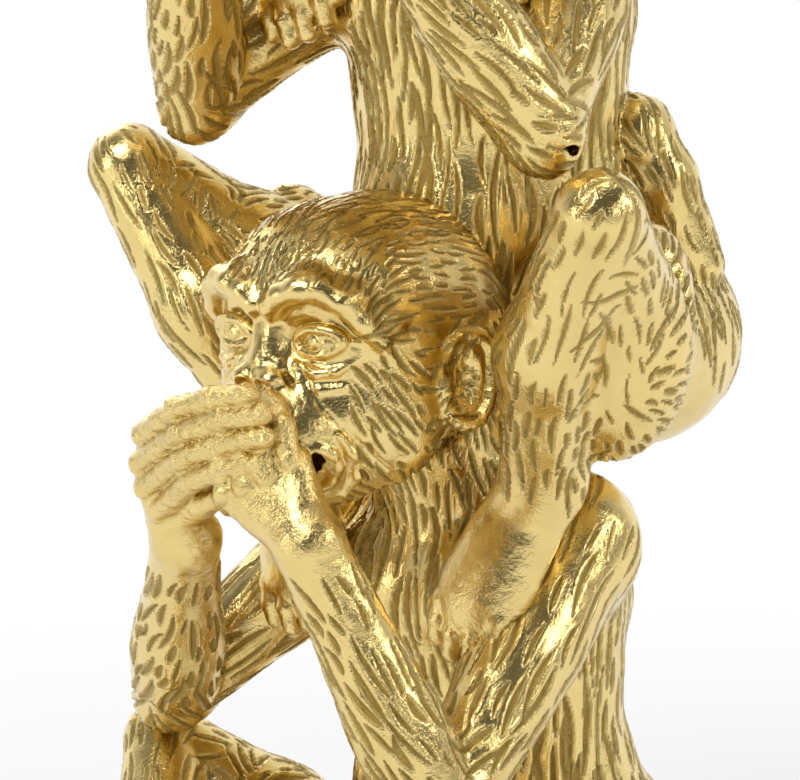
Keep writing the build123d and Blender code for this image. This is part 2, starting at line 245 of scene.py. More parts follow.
# Bare skin on one side of the head: start and end of a line, its reach and how crumpled it is
head_skin = [
    ((11, -97, 171), (11, -97, 162), 1.0, 0.08),
    ((19, -96, 177), (6, -101, 178), 1.0, 0.08),
    ((31.5, -60.5, 152), (31.5, -60, 166), 1.2, 0.3),
    ((9, -102, 157), (10, -97, 141), 1.1, 0.08),
]

# The gold's two ends: plain gold, and the dark gold of deep gouges and of the painted shade in
# hollows
gold_ridge = (0.86, 0.66, 0.26)
gold_gouge_and_shade = (0.43, 0.285, 0.055)
gold_roughness = 0.20
# How much each thing darkens or roughens the gold; the darkening of hollows is painted shade
groove_gain = 1.35
groove_shade, patch_shade, hollow_shade = 0.75, 0.5, 1.1
# Painted shade: where the surface sees less open sky than this, the gold is darkened
open_air = 0.85            # less sky than this counts as a hollow
hollow_reach = 0.007       # metres
groove_roughness, patch_roughness = 0.14, 0.22
# Bumps of the leaf: on the ridges and in the gouges, and creases on fur and on bare skin
ridge_grain, groove_grain = 0.32, 2.4
fleck_share = 0.5
least_crease, skin_crease = 0.5, 3.2
patch_scale, grain_scale, fleck_scale, crease_scale = 95.0, 1500.0, 3800.0, 640.0

levels = [
    {"name": "low", "legs": "down", "left": "mouth_under", "right": "mouth_over",
     "tail": tail_down, "voxel": photo_voxel, "head_voxel": seen_head_voxel,
     "arm_voxel": seen_arm_voxel},
    {"name": "middle", "legs": "up", "left": "eyes", "right": "eyes",
     "tail": tail_up, "voxel": photo_voxel, "head_voxel": middle_head_voxel,
     "arm_voxel": middle_arm_voxel},
    {"name": "top", "legs": "up", "left": "ears", "right": "ears",
     "tail": tail_up, "voxel": top_voxel, "head_voxel": top_head_voxel},
]


def point(place, side=1):
    return np.array([side * place[0], place[1], place[2]], dtype=float)


def mirrored(places, side):
    return [point(place, side) for place in places]


def unit(vector):
    return vector / np.linalg.norm(vector)


def between(start, end, share):
    return start + (end - start) * share


# Each form is a distance function with the box that holds it

def capsule(start, end, start_radius, end_radius, swell=0.0, swell_at=0.3):
    """A tapered limb between two points, thickest at swell_at of its length."""
    along = end - start
    length_squared = float(along @ along) + 1e-9

    def distance(x, y, z):
        dx, dy, dz = x - start[0], y - start[1], z - start[2]
        t = np.clip((dx * along[0] + dy * along[1] + dz * along[2]) / length_squared, 0, 1)
        radius = start_radius + (end_radius - start_radius) * t
        if swell:
            radius = radius + swell * np.exp(-((t - swell_at) / 0.28) ** 2)
        return np.sqrt((dx - t * along[0]) ** 2 + (dy - t * along[1]) ** 2
                       + (dz - t * along[2]) ** 2) - radius

    reach = max(start_radius, end_radius) + abs(swell)
    return distance, np.minimum(start, end) - reach, np.maximum(start, end) + reach


def oval(centre, radii, turn=None):
    """An ellipsoid. turn holds its three directions as rows."""
    axes = np.eye(3) if turn is None else np.array(turn)
    size = np.array(radii, dtype=float)

    def distance(x, y, z):
        dx, dy, dz = x - centre[0], y - centre[1], z - centre[2]
        near, far = 0.0, 0.0
        for axis, radius in zip(axes, size):
            part = (dx * axis[0] + dy * axis[1] + dz * axis[2]) / radius
            near = near + part ** 2
            far = far + (part / radius) ** 2
        near, far = np.sqrt(near), np.sqrt(far) + 1e-6
        return near * (near - 1) / far

    reach = np.sqrt(((axes * size[:, None]) ** 2).sum(axis=0))
    return distance, centre - reach, centre + reach


def paddle(start, end, start_radius, end_radius, facing, flatness):
    """A capsule that is flattened along the way that it faces, as a palm or sole is."""
    facing = unit(facing)
    round_distance, low, high = capsule(start, end, start_radius, end_radius)
    middle = (start + end) / 2

    def distance(x, y, z):
        off = ((x - middle[0]) * facing[0] + (y - middle[1]) * facing[1]
               + (z - middle[2]) * facing[2]) * (1 / flatness - 1)
        return round_distance(x + off * facing[0], y + off * facing[1],
                              z + off * facing[2]) * math.sqrt(flatness)

    return distance, low, high


def trunk_form():
    """The body as ovals that change smoothly with height."""
    outline = np.array(trunk_outline, dtype=float)
    heights = np.linspace(outline[0, 0], outline[-1, 0], 300)
    kernel = np.hanning(27)
    columns = []
    for column in (1, 2, 3):
        values = np.interp(heights, outline[:, 0], outline[:, column])
        padded = np.pad(values, 13, mode="edge")
        columns.append(np.convolve(padded, kernel / kernel.sum(), mode="valid"))

    def distance(x, y, z):
        setback, wide, deep = [np.interp(z.ravel(), heights, values).reshape(z.shape)
                               for values in columns]
        dy = y - setback
        near = np.sqrt((x / wide) ** 2 + (dy / deep) ** 2)
        far = np.sqrt((x / wide ** 2) ** 2 + (dy / deep ** 2) ** 2) + 1e-6
        side = near * (near - 1) / far
        return np.maximum(side, np.maximum(outline[0, 0] - z, z - outline[-1, 0]))

    widest = outline[:, 2].max()
    deepest = outline[:, 3].max()
    low = np.array([-widest, outline[:, 1].min() - deepest, outline[0, 0]])
    high = np.array([widest, outline[:, 1].max() + deepest, outline[-1, 0]])
    return distance, low, high


def soft_min(first, second, blend):
    if blend <= 0:
        return np.minimum(first, second)
    near = np.maximum(blend - np.abs(first - second), 0) / blend
    return np.minimum(first, second) - near * near * blend / 4


class Section:
    """One cast section of a monkey: the forms that make it and how its fur lies."""

    def __init__(self, name, joint_blend, crisp_from=None, crisp_after=0.0):
        self.name = name
        self.steps = []
        self.fur = []
        self.joint_blend = joint_blend
        self.crisp_from = crisp_from
        self.crisp_after = crisp_after

    def add(self, form, blend=2.0):
        self.steps.append(("add", form, blend))

    def carve(self, form, blend=1.0):
        self.steps.append(("carve", form, blend))

    def ridge(self, row, start_radius, end_radius, blend):
        """A raised line along a row of points, each stretch tapered alike."""
        for start, end in zip(row, row[1:]):
            self.add(capsule(start, end, start_radius, end_radius), blend)

    def furrow(self, row, radius, blend):
        """A sunken line along a row of points."""
        for start, end in zip(row, row[1:]):
            self.carve(capsule(start, end, radius, radius), blend)

    def strokes(self, start, end, way, length, width, depth, gap, pole=False):
        """Fur strokes near a line: where they point, and their sizes. A pole is a point
        that the strokes lead away from."""
        self.fur.append((np.array(start, float), np.array(end, float), np.array(way, float),
                         length, width, depth, gap, pole))

    def smooth(self, start, end, reach=1.0, crumple=0.08):
        """Bare skin near a line, more or less crumpled."""
        self.fur.append((np.array(start, float), np.array(end, float), np.zeros(3),
                         0.0, crumple, 0.0, reach, False))


class Grid:
    """The block of space around one monkey, cut into voxels."""

    def __init__(self, low, high, voxel):
        self.low = np.floor(low / voxel) * voxel
        self.voxel = voxel
        self.count = np.ceil((high - self.low) / voxel).astype(int) + 1
        self.axes = [(self.low[i] + voxel * np.arange(self.count[i])).astype(np.float32)
                     for i in range(3)]

    def span(self, low, high):
        first = np.clip(np.floor((low - self.low) / self.voxel).astype(int), 0, self.count)
        last = np.clip(np.ceil((high - self.low) / self.voxel).astype(int) + 1, 0, self.count)
        return first, last

    def coordinates(self, first, last):
        x, y, z = [self.axes[i][first[i]:last[i]] for i in range(3)]
        return x[:, None, None], y[None, :, None], z[None, None, :]


def section_bounds(section):
    lows = [form[1] for kind, form, blend in section.steps if kind == "add"]
    highs = [form[2] for kind, form, blend in section.steps if kind == "add"]
    return np.min(lows, axis=0) - field_margin, np.max(highs, axis=0) + field_margin


def section_field(section, grid):
    """The section's distances on its own part of the grid."""
    first, last = grid.span(*section_bounds(section))
    field = np.full(last - first, field_margin, dtype=np.float32)
    for kind, (distance, low, high), blend in section.steps:
        start, stop = grid.span(low - field_margin, high + field_margin)
        start = np.maximum(start, first)
        stop = np.minimum(stop, last)
        if np.any(stop <= start):
            continue
        block = tuple(slice(a - f, b - f) for a, b, f in zip(start, stop, first))
        values = distance(*grid.coordinates(start, stop)).astype(np.float32)
        if kind == "add":
            field[block] = soft_min(field[block], values, blend)
        else:
            field[block] = -soft_min(-field[block], values, blend)
    return first, last, field


def merge(grid, sections):
    """All sections as one skin, each joined with its own softness."""
    whole = np.full(grid.count, field_margin, dtype=np.float32)
    parts = []
    for section in sections:
        first, last, field = section_field(section, grid)
        block = tuple(slice(a, b) for a, b in zip(first, last))
        blend = section.joint_blend
        if section.crisp_from is not None:
            x, y, z = grid.coordinates(first, last)
            away = np.sqrt((x - section.crisp_from[0]) ** 2 + (y - section.crisp_from[1]) ** 2
                           + (z - section.crisp_from[2]) ** 2)
            share = np.clip((section.crisp_after - away) / crisp_fade + 1, 0, 1)
            blend = crisp_blend + (section.joint_blend - crisp_blend) * share
            near = np.maximum(blend - np.abs(whole[block] - field), 0) / blend
            whole[block] = np.minimum(whole[block], field) - near * near * blend / 4
        else:
            whole[block] = soft_min(whole[block], field, blend)
        parts.append((first, last, field))
    return whole, parts


def net(whole, grid):
    """A quad mesh on the surface where the distance is zero, one point in each cell."""
    inside = whole < 0
    corners = np.zeros(np.array(whole.shape) - 1, dtype=np.int8)
    shifts = [(i, j, k) for i in (0, 1) for j in (0, 1) for k in (0, 1)]
    for i, j, k in shifts:
        corners += inside[i:inside.shape[0] - 1 + i, j:inside.shape[1] - 1 + j,
                          k:inside.shape[2] - 1 + k]
    cells = np.argwhere((corners > 0) & (corners < 8))
    index = np.full(corners.shape, -1, dtype=np.int32)
    index[tuple(cells.T)] = np.arange(len(cells), dtype=np.int32)
    values = {shift: whole[tuple((cells + shift).T)] for shift in shifts}
    total = np.zeros((len(cells), 3))
    count = np.zeros(len(cells))
    for axis in range(3):
        step = [0, 0, 0]
        step[axis] = 1
        for shift in shifts:
            if shift[axis]:
                continue
            other = tuple(shift[i] + step[i] for i in range(3))
            a, b = values[shift], values[other]
            crosses = (a < 0) != (b < 0)
            share = np.where(crosses, a / np.where(crosses, a - b, 1), 0)
            total += np.where(crosses[:, None], np.array(shift) + share[:, None] * step, 0)
            count += crosses
    points = grid.low + (cells + total / count[:, None]) * grid.voxel
    quads = []
    for axis in range(3):
        u, v = (axis + 1) % 3, (axis + 2) % 3
        here = [slice(None)] * 3
        there = [slice(None)] * 3
        here[axis], there[axis] = slice(0, -1), slice(1, None)
        start, stop = inside[tuple(here)], inside[tuple(there)]
        edges = np.argwhere(start != stop)
        edges = edges[(edges[:, u] > 0) & (edges[:, v] > 0)
                      & (edges[:, u] < corners.shape[u]) & (edges[:, v] < corners.shape[v])]
        ring = []
        for du, dv in ((1, 1), (0, 1), (0, 0), (1, 0)):
            cell = edges.copy()
            cell[:, u] -= du
            cell[:, v] -= dv
            ring.append(index[tuple(cell.T)])
        quad = np.stack(ring, axis=1)
        outward = start[tuple(edges.T)]
        quad[~outward] = quad[~outward][:, ::-1]
        quads.append(quad)
    return points, np.concatenate(quads)


def point_normals(points, quads):
    first = points[quads[:, 2]] - points[quads[:, 0]]
    second = points[quads[:, 3]] - points[quads[:, 1]]
    face = np.cross(first, second)
    normals = np.zeros_like(points)
    for axis in range(3):
        for corner in range(4):
            normals[:, axis] += np.bincount(quads[:, corner], face[:, axis], len(points))
    return normals / (np.linalg.norm(normals, axis=1)[:, None] + 1e-12)


def relax(points, quads, share):
    """Moves each point a share of the way to the middle of its neighbours."""
    total = np.zeros_like(points)
    count = np.zeros(len(points))
    for corner in range(4):
        for step in (1, 3):
            near = quads[:, (corner + step) % 4]
            count += np.bincount(quads[:, corner], minlength=len(points))
            for axis in range(3):
                total[:, axis] += np.bincount(quads[:, corner], points[near, axis], len(points))
    return points + (total / count[:, None] - points) * share


def sampled(grid, part, points):
    """A section's distance at the nearest voxel to each point."""
    first, last, field = part
    cell = np.rint((points - grid.low) / grid.voxel).astype(int) - first
    held = np.all((cell >= 0) & (cell < np.array(field.shape)), axis=1)
    values = np.full(len(points), field_margin, dtype=float)
    values[held] = field[tuple(cell[held].T)]
    return values


def finger(section, root, tip, bulge, root_radius, tip_radius):
    """A finger or toe: three bones with knuckles between them."""
    joints = [root, between(root, tip, 0.42) + bulge, between(root, tip, 0.74) + bulge * 0.8, tip]
    radii = [root_radius, root_radius * 0.97, between(root_radius, tip_radius, 0.6), tip_radius]
    for i in range(3):
        section.add(capsule(joints[i], joints[i + 1], radii[i], radii[i + 1]), 0.35)
        section.add(oval(joints[i], [radii[i] + knuckle_size] * 3), 0.5)


def hand(section, places, side):
    wrist, knuckles, tips, thumb_tip = [
        point(places[key], side) for key in ("wrist", "knuckles", "tips", "thumb")]
    across = unit(point(places["across"], side))
    out = unit(np.cross(tips - knuckles, across))
    if out @ (knuckles - point(head_middle)) < 0:
        out = -out
    for share, length in zip(digit_places, finger_lengths):
        arch = out * (1.4 - 0.7 * share * share)
        root = knuckles + across * share * finger_pitch + arch - unit(tips - knuckles) * (
            1.8 - 0.8 * share * share)
        tip = between(root, tips + across * share * finger_pitch * 0.86, length)
        section.add(capsule(wrist, root - out * palm_deeper, *palm_radii), 2.5)
        finger(section, root, tip, out * 2.4 + across * 2.6, *finger_radii)
        section.smooth(root, tip, crumple=crumpled_fingers)
        section.smooth(wrist, root, crumple=crumpled_palm)
    if "heel" in places:
        section.add(oval(point(places["heel"], side), hand_heel), 3.0)
    root = between(wrist, knuckles, 0.3)
    bend = between(root, thumb_tip, 0.6) + out * 0.6
    section.add(capsule(root, bend, *thumb_radii[:2]), 2.5)
    section.add(capsule(bend, thumb_tip, *thumb_radii[1:]), 0.8)
    section.smooth(root, thumb_tip)


def arm(name, places, side):
    section = Section(name, 7.0, crisp_from=point(shoulder, side), crisp_after=34.0)
    top, elbow, wrist = mirrored((shoulder, places["elbow"], places["wrist"]), side)
    section.add(oval(top + point(shoulder_cap_offset, side), shoulder_cap), 3.0)
    section.add(capsule(top, elbow, shoulder_radius, elbow_radius, upper_arm_swell, 0.4), 4.0)
    section.add(capsule(elbow, wrist, elbow_radius, wrist_radius, forearm_swell, 0.3), 1.4)
    elbow_tip = elbow + unit(2 * elbow - top - wrist) * elbow_tip_out
    section.add(oval(elbow_tip, (elbow_tip_radius,) * 3), 6.0)
    if "vent" in places:
        section.carve(capsule(*mirrored(places["vent"], side), *vent_radii), 0.3)
    hand(section, places, side)
    upper, fore = unit(elbow - top), unit(wrist - elbow)
    drooping = upper + point(fur_droop)
    aside = point(forearm_fur_aside, side)
    section.strokes(top + point((0, 0, 8)), top, drooping, *shoulder_fur)
    section.strokes(top, between(top, elbow, 0.4), drooping, *upper_arm_fur)
    section.strokes(between(top, elbow, 0.45), elbow, upper, *lower_arm_fur)
    section.strokes(elbow, between(elbow, wrist, 0.85), fore + aside, *forearm_fur)
    return section


def leg(name, places, side):
    lifted = places is leg_places["up"]
    section = Section(name, 8.0, crisp_from=point(hip, side), crisp_after=20.0)
    root = point(hip, side)
    thigh, knee, shin, ankle, ball, toes, big_toe = mirrored([places[key] for key in (
        "thigh", "knee", "shin", "ankle", "ball", "toes", "big_toe")], side)
    section.add(oval(root, hip_mass), 6.0)
    section.add(capsule(root, between(root, thigh, 0.4), *buttock_radii), 6.0)
    lean = unit(point(thigh_lean, side))
    wide = unit(np.cross(lean, point(thigh_facing, side)))
    deep = np.cross(wide, lean)
    section.add(oval(thigh, thigh_disc, (wide, deep, lean)), 1.0)
    section.add(capsule(thigh + lean * 6, knee, thigh_end_radius, thigh_knee_radius), 5.0)
    section.add(capsule(knee, shin, knee_radius, calf_radius), 1.0)
    section.add(capsule(shin, ankle, calf_radius, ankle_radius), 4.0)
    down = unit(toes - ball)
    across = unit(np.cross(down, point((0, 1, 0)))) if lifted else unit(
        np.cross(down, point((0, 0, 1))))
    out = unit(np.cross(across, down))
    if (lifted and out[1] > 0) or (not lifted and out[2] < 0):
        out = -out
    section.add(oval(ankle - down * 2.5, ankle_ball), 4.0)
    section.add(paddle(ankle, ball, *sole_radii, out, sole_flatness), 4.0)
    for share, length in zip(digit_places, toe_lengths):
        toe_root = ball + across * share * toe_pitch + out * 1.4
        toe_tip = between(ball, toes, length) + across * share * toe_pitch
        finger(section, toe_root, toe_tip, out * 1.8, *toe_radii)
        section.smooth(toe_root, toe_tip, crumple=crumpled_toes)
    finger(section, between(ankle, ball, 0.3), big_toe, out * 1.2, *big_toe_radii)
    section.smooth(ankle, ball)
    section.smooth(between(ankle, ball, 0.3), big_toe)
    backwards = wide if wide[1] > 0 else -wide
    if lifted:
        middle, radii, blend = raised_thigh
        section.add(oval(point(middle, side), radii, (wide, deep, lean)), blend)
        start, end, reach = raised_groin
        section.smooth(point(start, side), point(end, side), reach)
    crease = [thigh + backwards * 21 * math.sin(turn) + lean * 28 * math.cos(turn) + deep * 1.5
              for turn in np.linspace(0.5, 2.7, 9)]
    section.furrow(crease, 2.4, 3.0)
    rim = [thigh + backwards * 16 * math.sin(turn) + lean * 23 * math.cos(turn) + deep * 4
           for turn in np.linspace(0.1, 3.0, 9)]
    for start, end in zip(rim, rim[1:]):
        section.strokes(start, end, thigh + deep * 24, *thigh_rim_fur, pole=True)
    section.strokes(root, root + point((0, 10, 10)), (0, 0.2, -1), *buttock_fur)
    section.strokes(thigh + deep * 12, between(thigh, knee, 0.8), knee - thigh, *thigh_fur)
    section.strokes(knee, shin, shin - knee, *shin_fur)
    section.strokes(shin, between(shin, ankle, 0.85), ankle - shin, *ankle_fur)
    return section


def tail(name, places):
    section = Section(name, 4.0, crisp_from=point(places[0]), crisp_after=14.0)
    points = [point(place) for place in places]
    radii = np.linspace(tail_root_radius, tail_tip_radius, len(points))
    for i in range(len(points) - 1):
        section.add(capsule(points[i], points[i + 1], radii[i], radii[i + 1]), 3.0)
        section.strokes(points[i], points[i + 1], points[i + 1] - points[i], *tail_fur)
    return section


def trunk(name, ground):
    section = Section(name, 4.0)
    section.add(trunk_form(), 0)
    section.add(capsule(point(neck_root), point(neck_top), 17.5, 16.0), 8.0)
    for side in (1, -1):
        for middle, radii, blend in trunk_masses:
            section.add(oval(point(middle, side), radii), blend)
        section.add(capsule(*mirrored(neck_slope, side), 9, 9), 8.0)
    middle, radii, blend = belly
    section.add(oval(point(middle), radii), blend)
    section.furrow(mirrored(back_furrow, 1), 1.6, 5.0)
    if ground:
        section.carve(oval(point((0, 0, pad_thickness - ground_depth)),
                           (ground_radius, ground_radius, ground_depth)), 0.4)
    for start, end, way, *sizes in trunk_fur:
        section.strokes(start, end, way, *sizes)
    return section


def fold(section, places, radius, blend, side):
    """A raised crease of skin along a row of points."""
    row = mirrored(places, side)
    last = len(row) - 1
    radii = [radius * (fold_ends_share + (1 - fold_ends_share) * math.sin(math.pi * i / last))
             for i in range(last + 1)]
    for i in range(last):
        section.add(capsule(row[i], row[i + 1], radii[i], radii[i + 1]), blend)


def eye(section, side):
    middle = np.array((12.6, -96.7, 168.0))
    section.carve(oval(point((12.5, -103.0, 168.6), side), (9.8, 8.3, 6.6)), 2.0)
    section.furrow(mirrored(under_brow, side), 1.7, 2.0)
    section.add(oval(point((12.6, -90.9, 168.0), side), (7.2, 6.9, 6.2)), 0.3)
    lids = []
    for turn in np.linspace(0, 2 * math.pi, 23):
        outward, lift = math.cos(turn), math.sin(turn)
        lids.append(middle + (5.8 * outward, 2.3 * max(outward, 0) ** 1.5 + 0.3 * max(-outward, 0)
                              - 0.4, (3.0 if lift > 0 else 2.7) * lift + 0.5 * outward))
    for start, end in zip(lids, lids[1:]):
        radius = 1.15 if start[2] + end[2] > 2 * middle[2] else 0.9
        section.add(capsule(point(start, side), point(end, side), radius, radius), 0.35)
    iris = [middle + (2.1 * math.cos(turn) - 0.6, -1.0 + 0.25 * abs(math.cos(turn)),
                      2.0 * math.sin(turn)) for turn in np.linspace(0, 2 * math.pi, 15)]
    section.furrow(mirrored(iris, side), 0.38, 0.2)
    for places, radius, blend in eye_folds:
        fold(section, places, radius, blend, side)


def ear(section, side):
    centre = point((28.4, -66.5, 158.5), side)
    lean = unit(point((0.95, -0.30, 0.06), side))
    up = unit(point((0, 0.14, 1)) - lean * lean[2])
    back = np.cross(up, lean) * side
    turn = [lean, back, up]
    section.add(oval(centre, (2.4, 7.0, 11.0), turn), 2.0)
    section.carve(oval(centre + lean * 3.0 - back * 1.6 - up * 0.6, (2.9, 5.0, 7.6), turn), 0.6)
    rim = []
    for share in np.linspace(-0.14, 0.56, 14):
        angle = share * 2 * math.pi
        squared = 1 + 0.10 * math.sin(2 * angle) ** 2
        rim.append(centre + up * 10.0 * squared * math.cos(angle) + back * 6.3 * squared
                   * math.sin(angle) + lean * (1.5 + 0.5 * math.sin(angle)))
    section.ridge(rim, 1.45, 1.45, 0.8)
    section.add(oval(centre + lean * 1.0 - back * 5.2 - up * 2.5, (1.8, 1.8, 2.8), turn), 1.2)
    section.add(capsule(centre + lean * 0.4 + up * 4.5 + back * 1.6,
                        centre + lean * 0.4 - up * 4.0 + back * 2.4, 1.0, 0.8), 0.8)
    section.strokes(centre + up * 5 - back, centre - up * 5 - back, up + back * 0.4, *ear_fur)


def head(name, mouth_covered):
    section = Section(name, 3.0)
    for middle, radii, blend in head_masses:
        section.add(oval(point(middle), radii), blend)
    for side in (1, -1):
        middle, radii, blend = cheek
        section.add(oval(point(middle, side), radii), blend)
        row = mirrored(brow, side)
        for start, end, radius in zip(row, row[1:], brow_radii):
            section.add(capsule(start, end, radius, radius), 3.2)
    section.carve(capsule(point((0, -102.5, 184)), point((0, -103.5, 174)), 0.9, 0.9), 2.0)
    for side in (1, -1):
        eye(section, side)
        ear(section, side)
        section.ridge(mirrored(brow_ridge, side), 2.8, 2.6, 1.2)
        section.furrow(mirrored(cheek_line, side), 0.35, 1.2)
    section.add(capsule(point((0, -93.5, 173)), point((0, -99.5, 163)), 4.0, 4.0), 3.0)
    for side in (1, -1):
        section.add(oval(point((3.3, -101.5, 159.6), side), (3.6, 3.7, 2.9)), 1.6)
        section.carve(oval(point((2.5, -105.2, 158.6), side), (1.4, 1.6, 1.0)), 0.6)
        section.carve(capsule(point((6.5, -100, 161), side), point((11.5, -99.5, 152), side),
                              0.5, 0.4), 2.0)
        fold(section, nose_fold, 0.6, 1.0, side)
    lip = [point((17.5 * math.sin(turn), -91 - 18.6 * math.cos(turn), 142.5 + 3.0 * abs(
        math.sin(turn)) ** 2)) for turn in np.linspace(-1.15, 1.15, 15)]
    section.furrow(lip, 0.75, 1.0)
    if mouth_covered:
        for side in (1, -1):
            section.ridge(mirrored(mouth_corner, side), 1.5, 1.5, 0.9)
            for outer, inner, radius in mouth_bores:
                section.carve(capsule(point(outer, side), point(inner, side), radius, radius), 0.4)
            fold(section, mouth_fold, 1.1, 1.4, side)
    for side in (1, -1):
        for start, end, way, *sizes in head_fur:
            section.strokes(*mirrored((start, end, way), side), *sizes)
        for start, end, reach, crumple in head_skin:
            section.smooth(point(start, side), point(end, side), reach, crumple)
    section.smooth((0, -108, 160), (0, -102, 134))
    return section


def nearest_on_line(points, start, end):
    along = end - start
    share = np.clip((points - start) @ along / (along @ along + 1e-9), 0, 1)
    return start + share[:, None] * along


def fur_at(section, points, normals):
    """Where the strokes point at some places, and their length, width, depth and gap."""
    weight_sum = np.zeros(len(points))
    way = np.zeros_like(points)
    sizes = np.zeros((len(points), 4))
    bare = np.zeros(len(points))
    crumple_sum = np.zeros(len(points))
    for start, end, direction, length, width, depth, gap, pole in section.fur:
        apart = np.linalg.norm(points - nearest_on_line(points, start, end), axis=1)
        weight = np.exp(-apart / fur_fade) + 1e-12
        if length == 0:
            bare += weight * gap
            crumple_sum += weight * gap * width
            continue
        lead = points - direction if pole else np.broadcast_to(direction, points.shape)
        lead = lead / (np.linalg.norm(lead, axis=1)[:, None] + 1e-9)
        way += lead * weight[:, None]
        sizes += weight[:, None] * np.array([length, width, depth, gap])
        weight_sum += weight
    share = weight_sum / (weight_sum + bare)
    way -= normals * np.sum(way * normals, axis=1)[:, None]
    way /= np.linalg.norm(way, axis=1)[:, None] + 1e-9
    return way, sizes / weight_sum[:, None], share, crumple_sum / (weight_sum + bare)


def scatter(points, normals, way, sizes, allowed, random, area):
    """Picks stroke places so that none crowds its neighbours."""
    order = random.permutation(np.flatnonzero(allowed))
    order = order[:int(len(order) * min(1, area / candidate_area))]
    lead = way[order] + np.cross(normals[order], way[order]) * random.uniform(
        -way_jitter, way_jitter, (len(order), 1))
    lead /= np.linalg.norm(lead, axis=1)[:, None] + 1e-9
    across = np.cross(normals[order], lead)
    jitter = random.uniform(least_size_shares, most_size_shares, (len(order), 2))
    lengths, widths = sizes[order, 0] * jitter[:, 0], sizes[order, 1] * jitter[:, 1]
    depths, gaps = sizes[order, 2], sizes[order, 3]
    keys = np.floor(points[order] / bucket).astype(int)
    places = points[order].tolist()
    rows = zip(places, keys.tolist(), lead.tolist(), across.tolist(), lengths.tolist(),
               gaps.tolist())
    held = {}
    chosen = []
    for rank, ((x, y, z), (kx, ky, kz), (lx, ly, lz), (ax, ay, az), length, gap) in enumerate(rows):
        free = True
        for qx, qy, qz, other_length in held.get((kx, ky, kz), ()):
            dx, dy, dz = qx - x, qy - y, qz - z
            along = (dx * lx + dy * ly + dz * lz) / (0.52 * (length + other_length))
            beside = (dx * ax + dy * ay + dz * az) / gap
            if along * along + beside * beside < 0.8 or (
                    abs(along) < 0.94 and abs(beside) < 0.5):
                free = False
                break
        if not free:
            continue
        spot = (x, y, z, length)
        for i in neighbour_steps:
            for j in neighbour_steps:
                for k in neighbour_steps:
                    held.setdefault((kx + i, ky + j, kz + k), []).append(spot)
        chosen.append(rank)
    return order[chosen], lead[chosen], across[chosen], lengths[chosen], widths[chosen], depths[
        chosen]


def engrave(points, normals, chosen, random):
    """Cuts each stroke as a gouge with a raised rim. Returns depth and rim height."""
    keys = np.floor((points - points.min(axis=0)) / engraving_cell).astype(np.int64)
    span = keys.max(axis=0) + 3
    flat = (keys[:, 0] * span[1] + keys[:, 1]) * span[2] + keys[:, 2]
    order = np.argsort(flat, kind="stable")
    ordered = flat[order]
    low = points.min(axis=0)
    depth_at = np.zeros(len(points))
    rim_at = np.zeros(len(points))
    bends = random.uniform(-stroke_bend, stroke_bend, len(chosen[0]))
    for bend, i, lead, across, length, width, depth in zip(bends, *chosen):
        place = points[i]
        reach = np.abs(lead) * length * 0.6 + np.abs(across) * width + 1.0
        first = np.maximum(
            np.floor((place - reach - low) / engraving_cell).astype(np.int64), 0)
        last = np.floor((place + reach - low) / engraving_cell).astype(np.int64)
        picks = []
        for a in range(first[0], last[0] + 1):
            for b in range(first[1], last[1] + 1):
                base = (a * span[1] + b) * span[2]
                begin = np.searchsorted(ordered, base + first[2])
                finish = np.searchsorted(ordered, base + last[2], side="right")
                if finish > begin:
                    picks.append(order[begin:finish])
        if not picks:
            continue
        near = np.concatenate(picks)
        offset = points[near] - place
        along = offset @ lead / (length * 0.5)
        beside = offset @ across + bend * length * along ** 2
        height = offset @ normals[i]
        inside = (np.abs(along) < 1.12) & (np.abs(beside) < width * 1.3) & (np.abs(height) < 4)
        inside &= normals[near] @ normals[i] > 0.15
        near, along, beside = near[inside], along[inside], beside[inside]
        ends = np.clip(1 - along ** 2, 0, 1)
        half = width * 0.5 * ends ** 0.75 * (1 - 0.25 * along) + 1e-6
        across_share = np.abs(beside) / half
        cut = depth * np.clip(1 - across_share ** 2, 0, 1) ** 0.8 * np.clip(
            1 - along ** 4, 0, 1) ** 0.5
        rim = depth * rim_share * np.exp(
            -((np.abs(beside) - half * 1.3) / rim_width) ** 2) * ends ** 0.5
        np.maximum.at(depth_at, near, cut)
        np.maximum.at(rim_at, near, rim)
    return depth_at, rim_at


